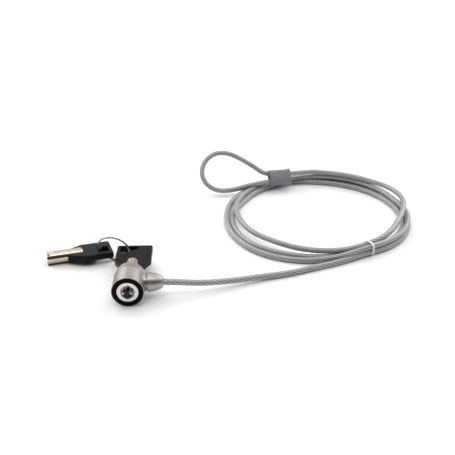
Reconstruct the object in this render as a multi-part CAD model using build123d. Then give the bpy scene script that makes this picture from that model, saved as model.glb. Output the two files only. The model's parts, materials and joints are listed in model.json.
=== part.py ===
"""Laptop cable lock: lock head, steel cable with coil and eye, ferrule, two tubular keys on a ring.

Frame in millimetres. The origin is the centre of the face that meets the laptop. The lock's axis
is +Y, away from the laptop, the cable leaves towards +X, and +Z is up. The lock lies on its side,
so the surface it rests on is one housing radius below the axis.
"""
from build123d import *
import os
from math import cos, pi, radians, sin, tan

# ---------------------------------------------------------------- driving dimensions
BODY_R = 11.0            # housing, outside radius
FLOOR = -BODY_R          # height of the surface that everything lies on
HOUSING_FRONT = 0.5      # the rubber ring stands this far proud of the housing
HOUSING_REAR = 24.0
TAPER_START = 16.0
REAR_R = 10.0
REAR_ROUND = 1.2

PAD_OUT_R = 10.65        # rubber ring
PAD_DEPTH = 2.2
BARREL_R = 7.3
BARREL_FRONT = 1.3
BARREL_REAR = 24.6
PLATE_FRONT = 0.35       # face plate, set just behind the rubber ring
PLATE_IN_R = 4.6
RECESS_R = 4.5           # round recess in the laptop face
WORKS_R = 6.5            # bore that holds the pin block and the rotor
WORKS_REAR = 14.5
KEYWAY_R = 4.95
BLOCK_FRONT = 3.5
SHEAR_LINE = 9.0         # where the driver pins end and the rotor starts
PIN_COUNT = 7
PIN_CIRCLE_R = 4.35
PIN_R = 0.5
CHAMBER_R = 0.6
CHAMBER_FRONT = 4.2
DRIVER_LENGTH = 2.0
BLOCK_PIN_R = 0.7        # cross pin that holds the pin block
BLOCK_PIN_Y = 6.2
KEY_CUTS = (1.2, 0.5, 1.7, 0.9, 1.4, 0.6, 1.0)   # depth of each cut in a key's end
CUT_R = 0.8

ROTOR_R = 6.42
ROTOR_FRONT = 9.05
ROTOR_REAR = 14.4
POST_R = 3.75
POST_END = 22.5
NIB_SLOT_W = 1.5
NIB_SLOT_R = 3.0
SPINDLE_R = 1.35
SPINDLE_BORE_R = 1.7
BAR_HEIGHT = 6.6         # head of the T-bar
BAR_WIDTH = 2.7
BAR_FRONT = -2.9
BAR_BACK = -1.4
GUIDE_PIN_X = 2.7        # the two pins that stop the lock turning in the slot
GUIDE_PIN_R = 0.75
GUIDE_PIN_TIP = -1.2

ANCHOR_Y = 13.2          # axis along X that the cable anchor swivels on
BOSS_R = 6.2
BOSS_END = 11.6
CONE_BASE = 12.2
CONE_BASE_R = 6.6
CONE_NOSE = 23.2
STUD_R = 2.0
STUD_HEAD_R = 3.4
STUD_HEAD_IN = 7.8
STUD_HEAD_OUT = 9.1
STOP_BORE_R = 3.4
STOP_START = 15.9
STOP_END = 20.3

CABLE_R = 2.2            # steel strand under a clear jacket, 4.4 mm outside
ARC_SHARE = 0.45         # share of the shorter run that each arc takes

KEY_TUBE_R = 4.8
KEY_BORE_R = 3.9
KEY_BORE_DEPTH = 11.0
KEY_TUBE_LENGTH = 27.0
BOW_START = 14.8
BOW_LENGTH = 33.0
BOW_WIDTH = 26.0
BOW_THICK = 4.8
SHOULDER = 11.2          # length of the bow's slanted front shoulders
SHOULDER_W = 12.6        # width that is left at the bow's front edge
RING_HOLE = ((-10.3, 37.1), (-7.0, 37.1), (2.6, 41.9), (2.6, 45.3), (-10.3, 45.3))
HOLE_CHAMFER = 0.3

RING_R = 11.77          # key ring, to the middle of its wire
RING_WIRE_R = 0.7

# Where things lie. Heights in these lists are above the floor.
LEAD_ROUTE = [           # from the stop inside the anchor to the outside of the coil
    (16.2, 13.2, 11.0), (29.0, 13.2, 11.0), (48.2, 16.2, 7.6), (68.9, 23.2, 4.7), (91.2, 31.5, 2.8),
    (112.3, 36.7, 2.2), (132.1, 44.7, 2.2), (152.3, 52.3, 2.2), (166.0, 59.7, 2.2),
]
COIL_CENTRE = (145.6, 130.4)
COIL_OUTER = (79, 81, 80, 81, 84, 80, 79, 83, 85, 79, 76, 76.5)      # radius every 30 degrees
COIL_INNER = (69, 70.5, 70, 70, 67.5, 65, 64.5, 62.5, 64.5, 66.5, 65.2, 65)
COIL_TOP = 13.2          # right-hand side, where a fourth turn lies on top
COIL_LOW_TOP = 8.8       # left-hand side, two turns high
COIL_SINGLE_TOP = 4.4    # under the ferrule and the eye, one turn high
TWO_HIGH = ((0, 0), (184, 0), (183, 66), (155, 215), (0, 255))
ONE_HIGH = ((46, 172), (135, 171), (136, 226), (46, 228))
TIE_ANGLE = -63.6
TIE_WIDTH = 1.5
TIE_THICK = 0.8
KNOT_R = 1.1
BUNDLE = 8.8             # the tied bundle is two cables wide and two high
BUNDLE_R = 70.0

FERRULE_AT = (119.8, 191.7, 11.5)
FERRULE_TO_EYE = (-0.9895, -0.1447, 0.0)
FERRULE_TILT = 50.0      # how far the eye's plane leans back from flat
FERRULE_LENGTH = 19.5
COVER_W = 14.5
COVER_T = 9.5
SLEEVE_W = 12.4
SLEEVE_T = 6.2
LEG_OFFSET = 3.15        # each leg of the cable, either side of the ferrule's axis
TAIL_ROUTE = [           # from the top of the coil to the ferrule
    (159.3, 204.6, 11.0), (148.3, 203.3, 12.2),
]
EYE_ROUTE = [            # along the ferrule's axis and across it, in the eye's own plane
    (-17.0, 3.15), (12.0, 3.15), (21.5, 11.2), (33.5, 20.2), (45.5, 26.9), (57.5, 27.1), (68.0, 19.5),
    (71.4, 7.5), (67.0, -3.2), (57.0, -9.0), (43.5, -8.7), (28.0, -5.4), (12.5, -3.15), (-9.2, -3.15),
]

KEY_2_AT = (-65.5, 59.22)    # open end of the second key's tube
KEY_2_HEADING = -74.15       # turn about Z from the first key's direction
KEY_2_LEAN = 8               # it rolls on its shank until its bow's far edge nearly rests on the floor
RING_AT = (-16.03, 59.45, 12.01)
RING_NORMAL = (0.149, 0.938, 0.314)


# ---------------------------------------------------------------- helpers
def rod_y(radius, start, end, x=0.0, z=0.0):
    """A round rod along Y."""
    return Pos(x, (start + end) / 2, z) * Rot(90, 0, 0) * Cylinder(radius, end - start)


def rod_x(radius, start, end, y=ANCHOR_Y, z=0.0):
    """A round rod along X, on the swivel's axis unless told otherwise."""
    return Pos((start + end) / 2, y, z) * Rot(0, 90, 0) * Cylinder(radius, end - start)


def spun_y(*points):
    """A solid turned about Y from (radius, y) points."""
    face = make_face(Polyline(*points, close=True))
    return revolve(face, Axis.Y, 360)


def pin_places():
    """Places of the pins round the lock's axis; the eighth place, at the top, is the key's nib."""
    for i in range(PIN_COUNT):
        angle = radians(90 + 360 / (PIN_COUNT + 1) * (i + 1))
        yield i, PIN_CIRCLE_R * cos(angle), PIN_CIRCLE_R * sin(angle)


def on_floor(points):
    """Points with heights above the floor, moved to the lock's own frame."""
    return [Vector(x, y, FLOOR + h) for x, y, h in points]


def arc_radii(points):
    """The largest even arcs that the runs of a route allow, one for each corner."""
    radii = []
    for before, corner, after in zip(points, points[1:], points[2:]):
        run_in = corner - before
        run_out = after - corner
        half_turn = radians(run_in.get_angle(run_out)) / 2
        radii.append(ARC_SHARE * min(run_in.length, run_out.length) / tan(half_turn))
    return radii


def cable_along(name, points):
    """A round cable along straight runs joined by tangent arcs."""
    radii = arc_radii(points)
    path = FilletPolyline(*points, radius=radii)
    start = Plane(origin=path @ 0, z_dir=path % 0)
    cable = sweep(start * Circle(CABLE_R), path)
    expected = pi * CABLE_R ** 2 * path.length
    print(f"{name}: length {path.length:.1f}, volume {cable.volume:.0f}, section x length {expected:.0f}")
    print(f"{name}: radii {[round(r, 1) for r in radii]}")
    return cable


def stadium(width, thick):
    """An oblong with round ends."""
    return SlotOverall(width, thick)


# ---------------------------------------------------------------- lock body
def make_housing():
    shell = spun_y(
        (BARREL_R, PAD_DEPTH), (PAD_OUT_R, PAD_DEPTH), (PAD_OUT_R, HOUSING_FRONT),
        (BODY_R, HOUSING_FRONT), (BODY_R, TAPER_START), (REAR_R, HOUSING_REAR), (BARREL_R, HOUSING_REAR),
    )
    rear_edge = shell.edges().filter_by(GeomType.CIRCLE).sort_by(Axis.Y)[-2:].sort_by(SortBy.RADIUS)[-1]
    shell = fillet(rear_edge, REAR_ROUND)
    boss = rod_x(BOSS_R, BARREL_R, BOSS_END)
    shell += boss - rod_y(BARREL_R, 0, HOUSING_REAR)
    shell -= rod_x(STUD_R + 0.06, BARREL_R - 2, BOSS_END + 1)
    shell -= rod_x(STUD_HEAD_R + 0.3, 0, STUD_HEAD_OUT + 0.05)
    return shell


def make_rubber_ring():
    ring = rod_y(PAD_OUT_R, 0, PAD_DEPTH) - rod_y(BARREL_R, 0, PAD_DEPTH)
    front_edges = ring.edges().filter_by(GeomType.CIRCLE).sort_by(Axis.Y)[:2]
    return fillet(front_edges, 0.35)


def make_face_plate():
    plate = rod_y(BARREL_R - 0.05, PLATE_FRONT, BARREL_FRONT) - rod_y(PLATE_IN_R, PLATE_FRONT, BARREL_FRONT)
    inner = plate.edges().filter_by(GeomType.CIRCLE).sort_by(Axis.Y)[:2].sort_by(SortBy.RADIUS)[0]
    return chamfer(inner, 0.3)


def make_barrel():
    barrel = spun_y(
        (WORKS_R, BARREL_FRONT), (BARREL_R, BARREL_FRONT), (BARREL_R, BARREL_REAR),
        (KEYWAY_R + 0.5, BARREL_REAR), (KEYWAY_R, BARREL_REAR - 0.5), (KEYWAY_R, WORKS_REAR),
        (WORKS_R, WORKS_REAR),
    )
    return barrel - block_pin_bore()


def make_face_bush():
    bush = rod_y(WORKS_R, BARREL_FRONT, BLOCK_FRONT) - rod_y(RECESS_R, BARREL_FRONT, BLOCK_FRONT)
    inner = bush.edges().filter_by(GeomType.CIRCLE).sort_by(Axis.Y)[:2].sort_by(SortBy.RADIUS)[0]
    return chamfer(inner, 0.4)


def block_pin_bore():
    return Pos(0, BLOCK_PIN_Y, 6.0) * Cylinder(BLOCK_PIN_R, 4.0)


def make_block_pin():
    return Pos(0, BLOCK_PIN_Y, 5.6) * Cylinder(BLOCK_PIN_R, 3.2)


def make_pin_block():
    block = rod_y(WORKS_R, BLOCK_FRONT, SHEAR_LINE)
    block -= rod_y(SPINDLE_BORE_R, BLOCK_FRONT, SHEAR_LINE)
    for _, x, z in pin_places():
        block -= rod_y(CHAMBER_R, CHAMBER_FRONT, SHEAR_LINE, x, z)
    for side in (-1, 1):
        block -= rod_y(GUIDE_PIN_R, BLOCK_FRONT, 5.5, side * GUIDE_PIN_X)
    return block - block_pin_bore()


def make_driver_pins():
    return [rod_y(PIN_R, SHEAR_LINE - DRIVER_LENGTH, SHEAR_LINE, x, z) for _, x, z in pin_places()]


def make_pin_springs():
    wire_r = 0.1
    turn_r = CHAMBER_R - 0.2
    free = SHEAR_LINE - DRIVER_LENGTH - CHAMBER_FRONT - 2 * wire_r
    path = Helix(pitch=0.65, height=free, radius=turn_r)
    spring = sweep(Plane(origin=path @ 0, z_dir=path % 0) * Circle(wire_r), path)
    springs = []
    for _, x, z in pin_places():
        springs.append(Pos(x, CHAMBER_FRONT + wire_r, z) * Rot(-90, 0, 0) * spring)
    return springs


def make_guide_pins():
    pins = []
    for side in (-1, 1):
        pin = rod_y(GUIDE_PIN_R, GUIDE_PIN_TIP, 5.5, side * GUIDE_PIN_X)
        tip = pin.edges().filter_by(GeomType.CIRCLE).sort_by(Axis.Y)[0]
        pins.append(chamfer(tip, 0.2))
    return pins


# ---------------------------------------------------------------- rotor, turned by the key
def make_rotor():
    rotor = rod_y(ROTOR_R, ROTOR_FRONT, ROTOR_REAR) + rod_y(POST_R, ROTOR_REAR, POST_END)
    post_edge = rotor.edges().filter_by(GeomType.CIRCLE).sort_by(Axis.Y)[-1]
    rotor = chamfer(post_edge, 0.5)
    slot_height = POST_R - NIB_SLOT_R + 0.5
    slot = Pos(0, (ROTOR_REAR + POST_END) / 2, NIB_SLOT_R + slot_height / 2)
    rotor -= slot * Box(NIB_SLOT_W, POST_END - ROTOR_REAR, slot_height)
    for _, x, z in pin_places():
        rotor -= rod_y(PIN_R, ROTOR_FRONT, ROTOR_REAR, x, z)
    return rotor - rod_y(SPINDLE_R, ROTOR_FRONT, 12.5)


def make_key_pins():
    pins = []
    for i, x, z in pin_places():
        pin = rod_y(PIN_R, ROTOR_FRONT, ROTOR_REAR + KEY_CUTS[i], x, z)
        tip = pin.edges().filter_by(GeomType.CIRCLE).sort_by(Axis.Y)[-1]
        pins.append(fillet(tip, 0.25))
    return pins


def make_t_bar():
    head = Pos(0, (BAR_FRONT + BAR_BACK) / 2, 0) * Box(BAR_WIDTH, BAR_BACK - BAR_FRONT, BAR_HEIGHT)
    head = fillet(head.edges().filter_by(Axis.Y), 0.6)
    head = chamfer(head.faces().sort_by(Axis.Y)[0].edges(), 0.3)
    return head + rod_y(SPINDLE_R, BAR_BACK - 0.2, 12.5)


# ---------------------------------------------------------------- cable anchor
def make_anchor_cone():
    profile = Polyline(
        (CONE_BASE, STOP_BORE_R), (CONE_BASE, CONE_BASE_R - 0.6), (CONE_BASE + 0.6, CONE_BASE_R),
        (CONE_BASE + 1.6, CONE_BASE_R),
    )
    flank = Spline((CONE_BASE + 1.6, CONE_BASE_R), (17.5, 6.1), (21.0, 4.9), (CONE_NOSE, 3.1),
                   tangents=[(1, -0.05), (0.35, -1)])
    mouth = Polyline(
        (CONE_NOSE, 3.1), (CONE_NOSE, CABLE_R + 0.1), (STOP_END, CABLE_R + 0.1), (STOP_END, STOP_BORE_R),
        (CONE_BASE, STOP_BORE_R),
    )
    face = make_face(profile + flank + mouth)
    return Pos(0, ANCHOR_Y, 0) * revolve(face, Axis.X, 360)


def make_cable_stop():
    return rod_x(STOP_BORE_R, STOP_START, STOP_END) - rod_x(CABLE_R, STOP_START, STOP_END)


def make_swivel_stud():
    stud = rod_x(STUD_HEAD_R, STUD_HEAD_IN, STUD_HEAD_OUT) + rod_x(STUD_R, STUD_HEAD_OUT, CONE_BASE)
    return stud + rod_x(STOP_BORE_R, CONE_BASE, STOP_START)


def make_swivel_washer():
    return rod_x(4.4, BOSS_END + 0.05, CONE_BASE) - rod_x(STUD_R, BOSS_END, CONE_BASE)


# ---------------------------------------------------------------- cable
def ferrule_plane():
    """Origin at the ferrule's centre, X towards the eye, Y across the two legs."""
    towards = Vector(*FERRULE_TO_EYE).normalized()
    flat_across = Vector(0, 0, 1).cross(towards) * -1
    across = flat_across * cos(radians(FERRULE_TILT)) + Vector(0, 0, 1) * sin(radians(FERRULE_TILT))
    centre = on_floor([FERRULE_AT])[0]
    return Plane(origin=centre, x_dir=towards, z_dir=towards.cross(across))


def loop_outline(radii):
    """A closed smooth outline round the coil's centre."""
    step = 360 / len(radii)
    points = []
    for i, radius in enumerate(radii):
        angle = radians(i * step)
        points.append((COIL_CENTRE[0] + radius * cos(angle), COIL_CENTRE[1] + radius * sin(angle)))
    return make_face(Spline(*points, periodic=True))


def tie_plane():
    """Across the tied bundle: X outwards, Y up, Z along the cable."""
    angle = radians(TIE_ANGLE)
    outwards = Vector(cos(angle), sin(angle), 0)
    middle = Vector(*COIL_CENTRE, FLOOR + TIE_THICK + BUNDLE / 2) + outwards * BUNDLE_R
    return Plane(origin=middle, x_dir=outwards, z_dir=outwards.cross(Vector(0, 0, 1)))


def make_cable_coil():
    outline = loop_outline(COIL_OUTER) - loop_outline(COIL_INNER)
    coil = Pos(0, 0, FLOOR) * extrude(outline, COIL_TOP)
    # the fourth turn is only on the right-hand side
    left = make_face(Polyline(*TWO_HIGH, close=True))
    coil -= Pos(0, 0, FLOOR + COIL_LOW_TOP) * extrude(left, COIL_TOP)
    under_ferrule = make_face(Polyline(*ONE_HIGH, close=True))
    coil -= Pos(0, 0, FLOOR + COIL_SINGLE_TOP) * extrude(under_ferrule, COIL_TOP)
    # the tie squeezes the bundle to its own square
    around = Rectangle(40, 40) - RectangleRounded(BUNDLE, BUNDLE, CABLE_R)
    coil -= tie_plane() * extrude(around, TIE_WIDTH / 2, both=True)
    return coil


def make_coil_tie():
    outside = BUNDLE + 2 * TIE_THICK
    band = RectangleRounded(outside, outside, CABLE_R + TIE_THICK) - RectangleRounded(BUNDLE, BUNDLE, CABLE_R)
    tie = extrude(band, TIE_WIDTH / 2, both=True)
    knot = Pos(-outside / 2 - 0.5, 2.0, 0) * Rot(90, 0, 0) * Cylinder(KNOT_R, 2 * KNOT_R)
    knot = fillet(knot.edges().filter_by(GeomType.CIRCLE), 0.4)
    return tie_plane() * (tie + knot)


def make_cable_lead():
    return cable_along("cable_lead", on_floor(LEAD_ROUTE))


def make_cable_eye():
    plane = ferrule_plane()
    eye = [plane.from_local_coords(Vector(along, across, 0)) for along, across in EYE_ROUTE]
    return cable_along("cable_eye", on_floor(TAIL_ROUTE) + eye)


def make_crimp_sleeve():
    sleeve = extrude(stadium(SLEEVE_W, SLEEVE_T), FERRULE_LENGTH / 2 - 0.9, both=True)
    for side in (-1, 1):
        sleeve -= Pos(side * LEG_OFFSET, 0, 0) * Cylinder(CABLE_R, FERRULE_LENGTH)
    return ferrule_cross_plane() * sleeve


def make_ferrule_cover():
    cover = extrude(stadium(COVER_W, COVER_T), FERRULE_LENGTH / 2, both=True)
    ends = cover.faces().filter_by(Axis.Z)
    cover = fillet(ends.edges(), 0.9)
    cover -= extrude(stadium(SLEEVE_W, SLEEVE_T), FERRULE_LENGTH, both=True)
    return ferrule_cross_plane() * cover


def ferrule_cross_plane():
    """Across the ferrule: X across the legs, Z towards the eye."""
    plane = ferrule_plane()
    return Plane(origin=plane.origin, x_dir=plane.y_dir, z_dir=plane.x_dir)


# ---------------------------------------------------------------- keys
def key_tube():
    """A tubular key's shank, its open end at the origin, pointing along -Y."""
    tube = rod_y(KEY_TUBE_R, 0, KEY_TUBE_LENGTH)
    closed_end = tube.edges().filter_by(GeomType.CIRCLE).sort_by(Axis.Y)[-1]
    tube = fillet(closed_end, 3.2)
    tube -= rod_y(KEY_BORE_R, 0, KEY_BORE_DEPTH)
    for i, x, z in pin_places():
        tube -= rod_y(CUT_R, 0, KEY_CUTS[i] + 0.3, x, z)
    nib_in = NIB_SLOT_R + 0.2
    nib = Pos(0, 1.0, (nib_in + KEY_BORE_R + 0.2) / 2) * Box(1.1, 2.0, KEY_BORE_R + 0.2 - nib_in)
    return tube + nib


def key_bow():
    """A flat plastic bow moulded round the shank, with a slanted hole for the ring."""
    end = BOW_START + BOW_LENGTH
    half = BOW_WIDTH / 2
    outline = Polyline(
        (-SHOULDER_W / 2, BOW_START), (SHOULDER_W / 2, BOW_START), (half, BOW_START + SHOULDER),
        (half, end), (-half, end), (-half, BOW_START + SHOULDER), close=True,
    )
    face = make_face(outline)
    face = fillet(face.vertices(), 1.6)
    bow = extrude(face, BOW_THICK / 2, both=True)
    bow = chamfer(bow.faces().filter_by(Axis.Z).edges(), 0.6)
    hole = make_face(Polyline(*RING_HOLE, close=True))
    bow -= extrude(fillet(hole.vertices(), 1.0), BOW_THICK, both=True)
    # the hole opens out to both faces, so that the ring can lean in it
    for side in (-1, 1):
        wide = offset(hole, HOLE_CHAMFER)
        mouth = loft([Pos(0, 0, side * BOW_THICK / 2) * wide,
                      Pos(0, 0, side * (BOW_THICK / 2 - HOLE_CHAMFER)) * fillet(hole.vertices(), 0.3)])
        bow -= mouth
    return bow - rod_y(KEY_TUBE_R, 0, KEY_TUBE_LENGTH)


def key_1_place():
    return Pos(0, ROTOR_REAR, 0)


def key_2_place():
    """On the floor, turned over so that its ring hole is on the near side."""
    height = FLOOR + KEY_TUBE_R
    return Pos(*KEY_2_AT, height) * Rot(0, 0, KEY_2_HEADING) * Rot(0, 180 - KEY_2_LEAN, 0)


def make_key_ring():
    centre = on_floor([RING_AT])[0]
    plane = Plane(origin=centre, z_dir=Vector(*RING_NORMAL))
    return plane * Torus(RING_R, RING_WIRE_R)


# ---------------------------------------------------------------- all parts
def main():
    parts = {
        "cable_lead": make_cable_lead(),
        "cable_coil": make_cable_coil(),
        "cable_eye": make_cable_eye(),
        "coil_tie": make_coil_tie(),
        "ferrule_cover": make_ferrule_cover(),
        "crimp_sleeve": make_crimp_sleeve(),
        "anchor_cone": make_anchor_cone(),
        "cable_stop": make_cable_stop(),
        "swivel_stud": make_swivel_stud(),
        "swivel_washer": make_swivel_washer(),
        "housing": make_housing(),
        "rubber_ring": make_rubber_ring(),
        "face_plate": make_face_plate(),
        "barrel": make_barrel(),
        "face_bush": make_face_bush(),
        "pin_block": make_pin_block(),
        "block_pin": make_block_pin(),
        "driver_pins": make_driver_pins(),
        "pin_springs": make_pin_springs(),
        "guide_pins": make_guide_pins(),
        "rotor": make_rotor(),
        "key_pins": make_key_pins(),
        "t_bar": make_t_bar(),
        "key_1_tube": key_1_place() * key_tube(),
        "key_1_bow": key_1_place() * key_bow(),
        "key_2_tube": key_2_place() * key_tube(),
        "key_2_bow": key_2_place() * key_bow(),
        "key_ring": make_key_ring(),
    }
    os.makedirs("parts", exist_ok=True)
    for name, shape in parts.items():
        if isinstance(shape, list):
            shape = Compound(children=shape)
        export_step(shape, f"parts/{name}.step")


main()
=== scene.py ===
import json
import math

import bmesh
import bpy
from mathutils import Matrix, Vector


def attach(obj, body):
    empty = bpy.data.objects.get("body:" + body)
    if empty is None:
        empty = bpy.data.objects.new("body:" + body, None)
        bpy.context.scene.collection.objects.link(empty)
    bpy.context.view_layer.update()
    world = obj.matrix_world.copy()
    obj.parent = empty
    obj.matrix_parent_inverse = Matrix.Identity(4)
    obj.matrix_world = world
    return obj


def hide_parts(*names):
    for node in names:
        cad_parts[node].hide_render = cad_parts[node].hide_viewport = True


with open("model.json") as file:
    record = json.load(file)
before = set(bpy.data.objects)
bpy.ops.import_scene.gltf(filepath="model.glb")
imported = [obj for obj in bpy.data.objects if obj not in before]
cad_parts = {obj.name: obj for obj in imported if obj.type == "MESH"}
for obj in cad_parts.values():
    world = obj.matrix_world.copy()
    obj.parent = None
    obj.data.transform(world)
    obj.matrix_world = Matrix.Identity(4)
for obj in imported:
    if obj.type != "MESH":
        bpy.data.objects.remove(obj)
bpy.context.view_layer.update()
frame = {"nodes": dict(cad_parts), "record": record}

# ---------------------------------------------------------------- sizes and places, in metres
FLOOR = -0.011           # everything lies on this height
CABLE_R = 0.0022
COIL_STEP = 12           # degrees from one point of the coil to the next
TUBE_STEP = 0.0015       # from one ring of the cable's tube to the next
TUBE_SIDES = 48

# Points of the cable that aren't coiled, as (x, y, height above the floor).
LEAD_ROUTE = [
    (0.0162, 0.0132, 0.0110), (0.0290, 0.0132, 0.0110), (0.0482, 0.0162, 0.0076),
    (0.0689, 0.0232, 0.0047), (0.0912, 0.0315, 0.0028), (0.1123, 0.0367, 0.0022),
    (0.1321, 0.0447, 0.0022), (0.1523, 0.0523, 0.0022),
]
TAIL_ROUTE = [(0.1593, 0.2046, 0.0110), (0.1483, 0.2033, 0.0122)]

# The coil: where its turns run, as (angle from where the lead joins it, radius, height above the floor).
COIL_CENTRE = (0.1456, 0.1304)
FIRST_ANGLE = -65.7
TURN_1 = [
    (0, 0.0722, 0.0030), (20, 0.0743, 0.0022), (50, 0.0753, 0.0022), (95, 0.0765, 0.0022),
    (140, 0.0774, 0.0022), (175, 0.0810, 0.0022), (200, 0.0785, 0.0022), (245, 0.0755, 0.0022),
    (270, 0.0790, 0.0022), (296, 0.0820, 0.0022), (319, 0.0794, 0.0022), (332, 0.0757, 0.0028),
    (344, 0.0738, 0.0050),
]
TURN_2 = [
    (0, 0.0722, 0.0074), (20, 0.0730, 0.0068), (35, 0.0745, 0.0066), (65, 0.0752, 0.0066),
    (80, 0.0732, 0.0060), (95, 0.0752, 0.0064), (125, 0.0766, 0.0066), (148, 0.0757, 0.0066),
    (169, 0.0735, 0.0060), (180, 0.0718, 0.0026), (197, 0.0695, 0.0022), (222, 0.0668, 0.0022),
    (242, 0.0708, 0.0022), (275, 0.0746, 0.0022), (294, 0.0762, 0.0026), (312, 0.0738, 0.0026),
    (334, 0.0710, 0.0022),
]
TURN_3 = [
    (0, 0.0678, 0.0030), (19, 0.0697, 0.0022), (50, 0.0708, 0.0022), (85, 0.0716, 0.0022),
    (115, 0.0725, 0.0022), (132, 0.0721, 0.0022), (154, 0.0727, 0.0022), (177, 0.0766, 0.0022),
    (195, 0.0742, 0.0032), (212, 0.0703, 0.0066), (229, 0.0693, 0.0068), (255, 0.0668, 0.0066),
    (280, 0.0675, 0.0066), (296, 0.0664, 0.0066), (307, 0.0675, 0.0066), (320, 0.0692, 0.0066),
    (342, 0.0696, 0.0066),
]
TURN_4 = [
    (0, 0.0678, 0.0074), (12, 0.0688, 0.0088), (24, 0.0684, 0.0100), (38, 0.0672, 0.0110),
    (52, 0.0688, 0.0112), (63, 0.0718, 0.0112), (75, 0.0768, 0.0110), (85, 0.0788, 0.0108),
    (95, 0.0790, 0.0108), (109, 0.0762, 0.0110), (124, 0.0756, 0.0110), (135, 0.0758, 0.0110),
]

# The ferrule and the eye, whose points are (along the ferrule, across it).
FERRULE_AT = (0.1198, 0.1917, 0.0115)
FERRULE_TO_EYE = (-0.9895, -0.1447, 0.0)
FERRULE_TILT = math.radians(50)
EYE_ROUTE = [
    (-0.0170, 0.00315), (0.0120, 0.00315), (0.0215, 0.0112), (0.0335, 0.0202), (0.0455, 0.0269),
    (0.0575, 0.0271), (0.0680, 0.0195), (0.0714, 0.0075), (0.0670, -0.0032), (0.0570, -0.0090),
    (0.0435, -0.0087), (0.0280, -0.0054), (0.0125, -0.00315), (-0.0092, -0.00315),
]

CAMERA_AT = (0.0548, -0.3969, 0.2500)
CAMERA_DOWN = math.radians(27)
CAMERA_TURN = math.radians(-1.7)
CAMERA_LENS = 55.4


# ---------------------------------------------------------------- routes
def above_floor(points):
    return [Vector((x, y, FLOOR + h)) for x, y, h in points]


def coil_points():
    """The coil's turns as points of the cord, worked out from each turn's own radii and heights."""
    knots = []
    for number, turn in enumerate((TURN_1, TURN_2, TURN_3, TURN_4)):
        knots += [(number * 360 + angle, radius, height) for angle, radius, height in turn]
    points = []
    for angle in range(0, knots[-1][0] + 1, COIL_STEP):
        before = max(k for k in range(len(knots) - 1) if knots[k][0] <= angle)
        a, b = knots[before], knots[before + 1]
        share = (angle - a[0]) / (b[0] - a[0])
        radius = a[1] + (b[1] - a[1]) * share
        height = a[2] + (b[2] - a[2]) * share
        turned = math.radians(FIRST_ANGLE + angle)
        x = COIL_CENTRE[0] + radius * math.cos(turned)
        y = COIL_CENTRE[1] + radius * math.sin(turned)
        points.append(Vector((x, y, FLOOR + height)))
    return points


def ferrule_axes():
    """Directions along the ferrule, across its two legs, and out of the eye's plane."""
    along = Vector(FERRULE_TO_EYE).normalized()
    flat = along.cross(Vector((0, 0, 1)))
    across = flat * math.cos(FERRULE_TILT) + Vector((0, 0, 1)) * math.sin(FERRULE_TILT)
    return along, across, along.cross(across)


def eye_points():
    along, across, _ = ferrule_axes()
    centre = above_floor([FERRULE_AT])[0]
    return [centre + along * u + across * v for u, v in EYE_ROUTE]


def route_line(name, points):
    """The smooth line of a route: one open NURBS spline with the points as its control points."""
    curve = bpy.data.curves.new(name, "CURVE")
    curve.dimensions = "3D"
    curve.resolution_u = 12
    spline = curve.splines.new("NURBS")
    spline.points.add(len(points) - 1)
    for control, place in zip(spline.points, points):
        control.co = (*place, 1)
    spline.order_u = 3
    spline.use_endpoint_u = True
    carrier = bpy.data.objects.new(name, curve)
    mesh = bpy.data.meshes.new_from_object(carrier)
    line = [v.co.copy() for v in mesh.vertices]
    bpy.data.meshes.remove(mesh)
    bpy.data.objects.remove(carrier)
    bpy.data.curves.remove(curve)
    return line


def even_steps(line, step):
    """The same line with its points a step apart, and how far along each one is."""
    total = sum((b - a).length for a, b in zip(line, line[1:]))
    count = round(total / step)
    spaced, lengths = [line[0].copy()], [0.0]
    done, wanted = 0.0, total / count
    for a, b in zip(line, line[1:]):
        piece = (b - a).length
        while piece > 0 and done + piece >= wanted - 1e-9 and len(spaced) < count:
            spaced.append(a.lerp(b, (wanted - done) / piece))
            lengths.append(wanted)
            wanted = total / count * len(spaced)
        done += piece
    spaced.append(line[-1].copy())
    lengths.append(total)
    return spaced, lengths


def carried_frames(line):
    """Two directions across the line at each point, carried along it without twist."""
    frames = []
    side = None
    for i, point in enumerate(line):
        ahead = (line[min(i + 1, len(line) - 1)] - line[max(i - 1, 0)]).normalized()
        if side is None:
            side = ahead.orthogonal().normalized()
        side = (side - ahead * side.dot(ahead)).normalized()
        frames.append((side.copy(), ahead.cross(side)))
    return frames


# ---------------------------------------------------------------- mesh helpers
def new_piece(name, bm, material, smooth=True):
    mesh = bpy.data.meshes.new(name)
    bm.to_mesh(mesh)
    bm.free()
    for face in mesh.polygons:
        face.use_smooth = smooth
    mesh.materials.append(material)
    piece = bpy.data.objects.new(name, mesh)
    bpy.context.scene.collection.objects.link(piece)
    return piece


def swept_tube(bm, line, lengths, sides, radius_at):
    """A closed tube along a line, with its length and turn in a UV layer for the material."""
    uv = bm.loops.layers.uv.verify()
    frames = carried_frames(line)
    rings = []
    for point, (side, up), length in zip(line, frames, lengths):
        ring = []
        for k in range(sides):
            turn = 2 * math.pi * k / sides
            out = side * math.cos(turn) + up * math.sin(turn)
            ring.append(bm.verts.new(point + out * radius_at(turn, length)))
        rings.append(ring)
    for i in range(len(rings) - 1):
        for k in range(sides):
            n = (k + 1) % sides
            face = bm.faces.new((rings[i][k], rings[i + 1][k], rings[i + 1][n], rings[i][n]))
            corners = ((i, k), (i + 1, k), (i + 1, k + 1), (i, k + 1))
            for loop, (row, column) in zip(face.loops, corners):
                loop[uv].uv = (lengths[row], column / sides)
    bm.faces.new(list(reversed(rings[0])))
    bm.faces.new(rings[-1])


# ---------------------------------------------------------------- materials
def new_material(name):
    material = bpy.data.materials.new(name)
    material.use_nodes = True
    nodes = material.node_tree.nodes
    return material, nodes, material.node_tree.links, nodes["Principled BSDF"]


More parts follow.
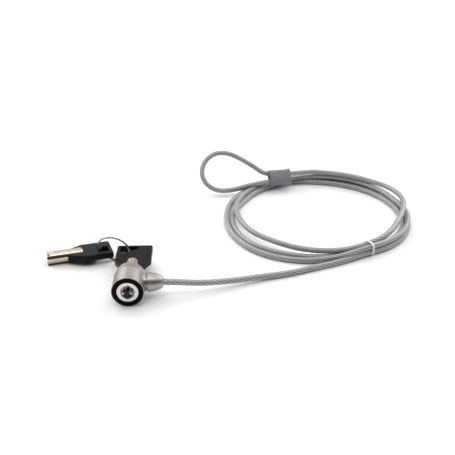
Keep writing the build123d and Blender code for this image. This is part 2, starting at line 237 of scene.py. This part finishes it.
def noise(nodes, links, scale, detail=4.0):
    node = nodes.new("ShaderNodeTexNoise")
    node.inputs["Scale"].default_value = scale
    node.inputs["Detail"].default_value = detail
    links.new(nodes.new("ShaderNodeTexCoord").outputs["Object"], node.inputs["Vector"])
    return node


def ramp(nodes, links, source, stops):
    node = nodes.new("ShaderNodeValToRGB")
    while len(node.color_ramp.elements) < len(stops):
        node.color_ramp.elements.new(0.5)
    for element, (place, colour) in zip(node.color_ramp.elements, stops):
        element.position = place
        element.color = (*colour, 1)
    links.new(source, node.inputs["Fac"])
    return node


def spread(nodes, links, source, low, high):
    """A 0 to 1 value moved to the range low to high."""
    node = nodes.new("ShaderNodeMapRange")
    node.inputs["To Min"].default_value = low
    node.inputs["To Max"].default_value = high
    links.new(source, node.inputs["Value"])
    return node


def bump(nodes, links, shader, source, strength, distance):
    node = nodes.new("ShaderNodeBump")
    node.inputs["Strength"].default_value = strength
    node.inputs["Distance"].default_value = distance
    links.new(source, node.inputs["Height"])
    links.new(node.outputs["Normal"], shader.inputs["Normal"])


HOLLOW_SHADE_REACH = 0.005     # how near the other wall of a hollow must be to darken it
METAL_TONE = 160.0       # noise scales, per metre
METAL_MARKS = 900.0
MOULDED_TONE = 120.0
MOULDED_GRAIN = 2600.0
CABLE_TONE = 90.0


def painted_hollow_shade(nodes, links, colour):
    """The same colour, painted darker deep inside bores and holes, where shade falls: painted shade."""
    open_to_air = nodes.new("ShaderNodeAmbientOcclusion")
    open_to_air.inputs["Distance"].default_value = HOLLOW_SHADE_REACH
    shade = ramp(nodes, links, open_to_air.outputs["AO"], [
        (0.30, (0.02, 0.02, 0.02)), (0.55, (1, 1, 1))])
    mixed = nodes.new("ShaderNodeMix")
    mixed.data_type = "RGBA"
    mixed.blend_type = "MULTIPLY"
    mixed.inputs["Factor"].default_value = 1.0
    links.new(colour, mixed.inputs["A"])
    links.new(shade.outputs["Color"], mixed.inputs["B"])
    return mixed.outputs["Result"]


def metal(name, dark, light, rough, rough_range=0.08, paint_hollow_shade=False):
    """Bare or plated metal: fine marks in its roughness and a little change of tone."""
    material, nodes, links, shader = new_material(name)
    shader.inputs["Metallic"].default_value = 1.0
    tone = noise(nodes, links, METAL_TONE)
    colour = ramp(nodes, links, tone.outputs["Fac"], [(0.3, dark), (0.7, light)]).outputs["Color"]
    # painted shade deep in bores and holes, when asked for
    if paint_hollow_shade:
        colour = painted_hollow_shade(nodes, links, colour)
    links.new(colour, shader.inputs["Base Color"])
    fine = noise(nodes, links, METAL_MARKS, detail=6.0)
    roughness = spread(nodes, links, fine.outputs["Fac"], rough, rough + rough_range)
    links.new(roughness.outputs["Result"], shader.inputs["Roughness"])
    bump(nodes, links, shader, fine.outputs["Fac"], 0.04, 0.0002)
    return material


def moulded(name, dark, light, rough, specular=0.5, paint_hollow_shade=False):
    """Moulded plastic or rubber with a fine grain."""
    material, nodes, links, shader = new_material(name)
    shader.inputs["Specular IOR Level"].default_value = specular
    tone = noise(nodes, links, MOULDED_TONE)
    colour = ramp(nodes, links, tone.outputs["Fac"], [(0.3, dark), (0.7, light)]).outputs["Color"]
    # painted shade deep in bores and holes, when asked for
    if paint_hollow_shade:
        colour = painted_hollow_shade(nodes, links, colour)
    links.new(colour, shader.inputs["Base Color"])
    fine = noise(nodes, links, MOULDED_GRAIN, detail=3.0)
    roughness = spread(nodes, links, fine.outputs["Fac"], rough - 0.06, rough + 0.06)
    links.new(roughness.outputs["Result"], shader.inputs["Roughness"])
    bump(nodes, links, shader, fine.outputs["Fac"], 0.12, 0.0001)
    return material


STRANDS = 6
LAY = 0.026              # length along the cable in which a strand goes once round it
STRAND_RELIEF = 0.00004
WIRES_PER_STRAND = 5
WIRE_LAY = 2.2 * LAY     # the wires wind the other way, more slowly


def cable_material():
    """Twisted bright wire seen through a clear jacket: its colour is painted darker in the grooves
    between strands and wires and lighter on their crowns (painted shade and painted highlight), with
    random tone from a noise.
    """
    material, nodes, links, shader = new_material("cable_wire_under_jacket")
    uv = nodes.new("ShaderNodeUVMap")
    split = nodes.new("ShaderNodeSeparateXYZ")
    links.new(uv.outputs["UV"], split.inputs["Vector"])

    def helix(count, lay):
        """A value that goes 0 to 1 across each of count wires wound with that lay."""
        along = nodes.new("ShaderNodeMath")
        along.operation = "MULTIPLY"
        along.inputs[1].default_value = -count / lay
        links.new(split.outputs["X"], along.inputs[0])
        around = nodes.new("ShaderNodeMath")
        around.operation = "MULTIPLY_ADD"
        around.inputs[1].default_value = count
        links.new(split.outputs["Y"], around.inputs[0])
        links.new(along.outputs[0], around.inputs[2])
        wave = nodes.new("ShaderNodeMath")
        wave.operation = "PINGPONG"
        wave.inputs[1].default_value = 0.5
        links.new(around.outputs[0], wave.inputs[0])
        return wave.outputs[0]

    strand = helix(STRANDS, LAY)
    wire = helix(STRANDS * WIRES_PER_STRAND, -WIRE_LAY)
    mixed = nodes.new("ShaderNodeMath")
    mixed.operation = "MULTIPLY_ADD"
    mixed.inputs[1].default_value = 0.25
    links.new(wire, mixed.inputs[0])
    links.new(strand, mixed.inputs[2])
    # random tone, laid over the painted strand shade and highlight
    cloud = noise(nodes, links, CABLE_TONE)
    strand_shade_and_tone = nodes.new("ShaderNodeMath")
    strand_shade_and_tone.operation = "MULTIPLY_ADD"
    strand_shade_and_tone.inputs[1].default_value = 0.25
    links.new(cloud.outputs["Fac"], strand_shade_and_tone.inputs[0])
    links.new(mixed.outputs[0], strand_shade_and_tone.inputs[2])
    # painted shade in the grooves between strands, painted highlight on their crowns
    colour = ramp(nodes, links, strand_shade_and_tone.outputs[0], [
        (0.15, (0.17, 0.17, 0.172)), (0.32, (0.27, 0.27, 0.272)), (0.48, (0.38, 0.38, 0.38)),
        (0.72, (0.50, 0.50, 0.495))])
    links.new(colour.outputs["Color"], shader.inputs["Base Color"])
    shader.inputs["Metallic"].default_value = 0.15
    shader.inputs["Roughness"].default_value = 0.40
    shader.inputs["Coat Weight"].default_value = 0.35
    shader.inputs["Coat Roughness"].default_value = 0.22
    bump(nodes, links, shader, mixed.outputs[0], 0.35, 0.0003)
    return material


# ---------------------------------------------------------------- the cable
def make_cable(cover):
    points = above_floor(LEAD_ROUTE) + coil_points() + above_floor(TAIL_ROUTE) + eye_points()
    line, lengths = even_steps(route_line("cable_route", points), TUBE_STEP)

    def radius_at(turn, length):
        lobe = math.cos(STRANDS * (turn - 2 * math.pi * length / LAY))
        return CABLE_R - STRAND_RELIEF * (1 - lobe) / 2

    bm = bmesh.new()
    swept_tube(bm, line, lengths, TUBE_SIDES, radius_at)
    cable = new_piece("steel_cable", bm, cable_material())
    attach(cable, "cable")
    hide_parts("cable_lead", "cable_coil", "cable_eye")
    print("cable length", round(lengths[-1], 4))


# ---------------------------------------------------------------- the sleeve over the crimp
COVER_HALF = 0.00975
COVER_WIDE, COVER_THICK = 0.00725, 0.00475
COVER_SIDES = 72
COVER_FLATNESS = 2.2     # how soon the straight stretch between the legs gives way to the round ends
BORE_WIDE, BORE_THICK = 0.0062, 0.0031


def make_ferrule_cover(material):
    """A moulded sleeve, open towards the eye and flared where the cable comes in."""
    along, across, out = ferrule_axes()
    centre = above_floor([FERRULE_AT])[0]
    # (along the ferrule, growth of the outside), then the bore as (along the ferrule, growth of the bore)
    outside = [(-0.97, -0.0011), (-1.0, -0.0003), (-0.995, 0.0003), (-0.96, 0.0006), (-0.88, 0.0006),
               (-0.76, 0.0003), (-0.6, 0.0), (0.0, -0.0001), (0.8, 0.0), (0.94, 0.0001), (0.985, 0.0),
               (1.0, -0.0003)]
    bore = [(1.0, 0.0007), (0.97, 0.0006), (0.80, 0.0002), (-0.9, 0.0001), (-0.97, 0.0001)]
    sections = [(u, COVER_WIDE + grow, COVER_THICK + grow) for u, grow in outside]
    sections += [(u, BORE_WIDE + grow, BORE_THICK + grow) for u, grow in bore]
    bm = bmesh.new()
    rings = []
    for u, wide, thick in sections:
        ring = []
        for k in range(COVER_SIDES):
            turn = 2 * math.pi * k / COVER_SIDES
            c, s = math.cos(turn), math.sin(turn)
            # an oblong with round ends: straight between the two legs, round outside them
            flat = wide - thick
            x = thick * c + flat * max(-1.0, min(1.0, c * COVER_FLATNESS))
            ring.append(bm.verts.new(centre + along * (u * COVER_HALF) + across * x + out * (thick * s)))
        rings.append(ring)
    for i in range(len(rings)):
        j = (i + 1) % len(rings)
        for k in range(COVER_SIDES):
            n = (k + 1) % COVER_SIDES
            bm.faces.new((rings[i][k], rings[i][n], rings[j][n], rings[j][k]))
    bmesh.ops.recalc_face_normals(bm, faces=bm.faces)
    cover = new_piece("ferrule_sleeve", bm, material)
    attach(cover, "cable")
    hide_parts("ferrule_cover")
    return cover


# ---------------------------------------------------------------- finishes of the CAD parts
def finish_cad_parts():
    chrome = metal("satin_chrome", (0.37, 0.34, 0.32), (0.43, 0.415, 0.41), 0.34, rough_range=0.10)
    steel = metal("turned_steel", (0.60, 0.60, 0.61), (0.74, 0.74, 0.75), 0.24)
    wire = metal("ring_wire", (0.30, 0.26, 0.22), (0.46, 0.41, 0.36), 0.22)
    dark = metal("hardened_steel", (0.012, 0.012, 0.013), (0.035, 0.034, 0.033), 0.34)
    brass = metal("turned_brass", (0.42, 0.33, 0.25), (0.62, 0.50, 0.40), 0.26)
    # painted shade: the crimp's brass is coloured very dark, so that the sleeve's bore stays dark
    crimp = metal("brass_painted_dark", (0.035, 0.024, 0.014), (0.16, 0.11, 0.06), 0.32)
    # painted shade inside the key's bore and other hollows
    nickel = metal("warm_nickel", (0.50, 0.41, 0.32), (0.64, 0.54, 0.44), 0.09,
                   rough_range=0.05, paint_hollow_shade=True)
    rubber = moulded("black_rubber", (0.0015, 0.0015, 0.0018), (0.004, 0.004, 0.0045), 0.7,
                     specular=0.10)
    plastic = moulded("bow_plastic", (0.0030, 0.0026, 0.0036), (0.0070, 0.0062, 0.0080), 0.30,
                      specular=0.12)
    # painted shade inside the sleeve's bore
    cover = moulded("ferrule_plastic", (0.205, 0.202, 0.225), (0.260, 0.256, 0.282), 0.55,
                    specular=0.3, paint_hollow_shade=True)
    clear = moulded("clear_band", (0.80, 0.80, 0.80), (0.92, 0.92, 0.92), 0.25)
    finishes = {
        "cable_jacket": clear, "tie_band": clear, "ferrule_plastic": cover, "crimp_brass": crimp,
        "bright_chrome": chrome, "plain_steel": steel, "dark_steel": dark, "spring_steel": steel,
        "lock_brass": brass, "black_rubber": rubber, "key_nickel": nickel, "bow_plastic": plastic,
    }
    slots = {row["node"]: row["material_slot"] for row in frame["record"]["subparts"]}
    for node, piece in frame["nodes"].items():
        finish = wire if node == "key_ring" else finishes[slots[node]]
        for slot in piece.material_slots:
            slot.material = finish
    return cover


# ---------------------------------------------------------------- stage
FLOOR_HALF = 3.0
FLOOR_TONE = 3.0         # a noise scale, per metre
WORLD_STRENGTH = 1.22
LIGHTS_AIM_AT = (0.08, 0.1, 0.0)


def make_stage():
    bm = bmesh.new()
    corners = [(-1, -1), (1, -1), (1, 1), (-1, 1)]
    bm.faces.new([bm.verts.new((x * FLOOR_HALF, y * FLOOR_HALF, FLOOR)) for x, y in corners])
    material, nodes, links, shader = new_material("pale_floor")
    tone = noise(nodes, links, FLOOR_TONE)
    colour = ramp(nodes, links, tone.outputs["Fac"], [
        (0.0, (0.955, 0.955, 0.950)), (1.0, (0.97, 0.97, 0.965))])
    links.new(colour.outputs["Color"], shader.inputs["Base Color"])
    shader.inputs["Roughness"].default_value = 0.6
    floor = new_piece("floor", bm, material, smooth=False)


def area_light(name, place, size, power, colour=(1, 1, 1)):
    lamp = bpy.data.lights.new(name, "AREA")
    lamp.shape = "RECTANGLE"
    lamp.size, lamp.size_y = size
    lamp.energy = power
    lamp.color = colour
    light = bpy.data.objects.new(name, lamp)
    light.location = place
    aim = Vector(LIGHTS_AIM_AT) - Vector(place)
    light.rotation_euler = aim.to_track_quat("-Z", "Y").to_euler()
    bpy.context.scene.collection.objects.link(light)


def light_scene():
    """A white room that is dark behind the camera, so that bright metal has something to reflect."""
    world = bpy.data.worlds.new("studio")
    world.use_nodes = True
    nodes, links = world.node_tree.nodes, world.node_tree.links
    direction = nodes.new("ShaderNodeTexCoord").outputs["Generated"]
    split = nodes.new("ShaderNodeSeparateXYZ")
    links.new(direction, split.inputs["Vector"])
    behind_object = ramp(nodes, links, split.outputs["Z"], [
        (0.0, (0.34, 0.33, 0.32)), (0.35, (0.46, 0.45, 0.44)), (0.65, (1.0, 1.0, 1.0))])
    behind_camera = ramp(nodes, links, split.outputs["Z"], [
        (0.0, (0.05, 0.045, 0.045)), (0.74, (0.06, 0.055, 0.055)), (0.92, (1.0, 1.0, 1.0))])
    forward = spread(nodes, links, split.outputs["Y"], 1.0, 0.0)
    forward.inputs["From Min"].default_value = -0.45
    forward.inputs["From Max"].default_value = -0.05
    sides = nodes.new("ShaderNodeMix")
    sides.data_type = "RGBA"
    links.new(forward.outputs["Result"], sides.inputs["Factor"])
    links.new(behind_object.outputs["Color"], sides.inputs["A"])
    links.new(behind_camera.outputs["Color"], sides.inputs["B"])
    # seen directly, past the floor's far edge, the room is plain white
    seen = nodes.new("ShaderNodeMix")
    seen.data_type = "RGBA"
    seen.inputs["B"].default_value = (0.9, 0.9, 0.9, 1)
    links.new(nodes.new("ShaderNodeLightPath").outputs["Is Camera Ray"], seen.inputs["Factor"])
    links.new(sides.outputs["Result"], seen.inputs["A"])
    links.new(seen.outputs["Result"], nodes["Background"].inputs["Color"])
    nodes["Background"].inputs["Strength"].default_value = WORLD_STRENGTH
    bpy.context.scene.world = world
    bpy.context.scene.view_settings.view_transform = "Standard"
    area_light("soft_box_left", (-0.80, 0.80, 0.70), (1.1, 0.9), 5.5, (1.0, 0.99, 0.97))
    area_light("soft_box_right", (0.95, 0.85, 0.70), (1.1, 0.9), 5.5)
    area_light("soft_box_front", (0.10, -0.25, 1.05), (0.9, 0.4), 2.2)


def place_camera():
    camera = bpy.data.cameras.new("camera")
    camera.lens = CAMERA_LENS
    camera.sensor_width = 36.0
    eye = bpy.data.objects.new("camera", camera)
    eye.location = CAMERA_AT
    eye.rotation_euler = (math.pi / 2 - CAMERA_DOWN, 0, CAMERA_TURN)
    bpy.context.scene.collection.objects.link(eye)
    bpy.context.scene.camera = eye


sleeve_material = finish_cad_parts()
make_cable(make_ferrule_cover(sleeve_material))
make_stage()
light_scene()
place_camera()
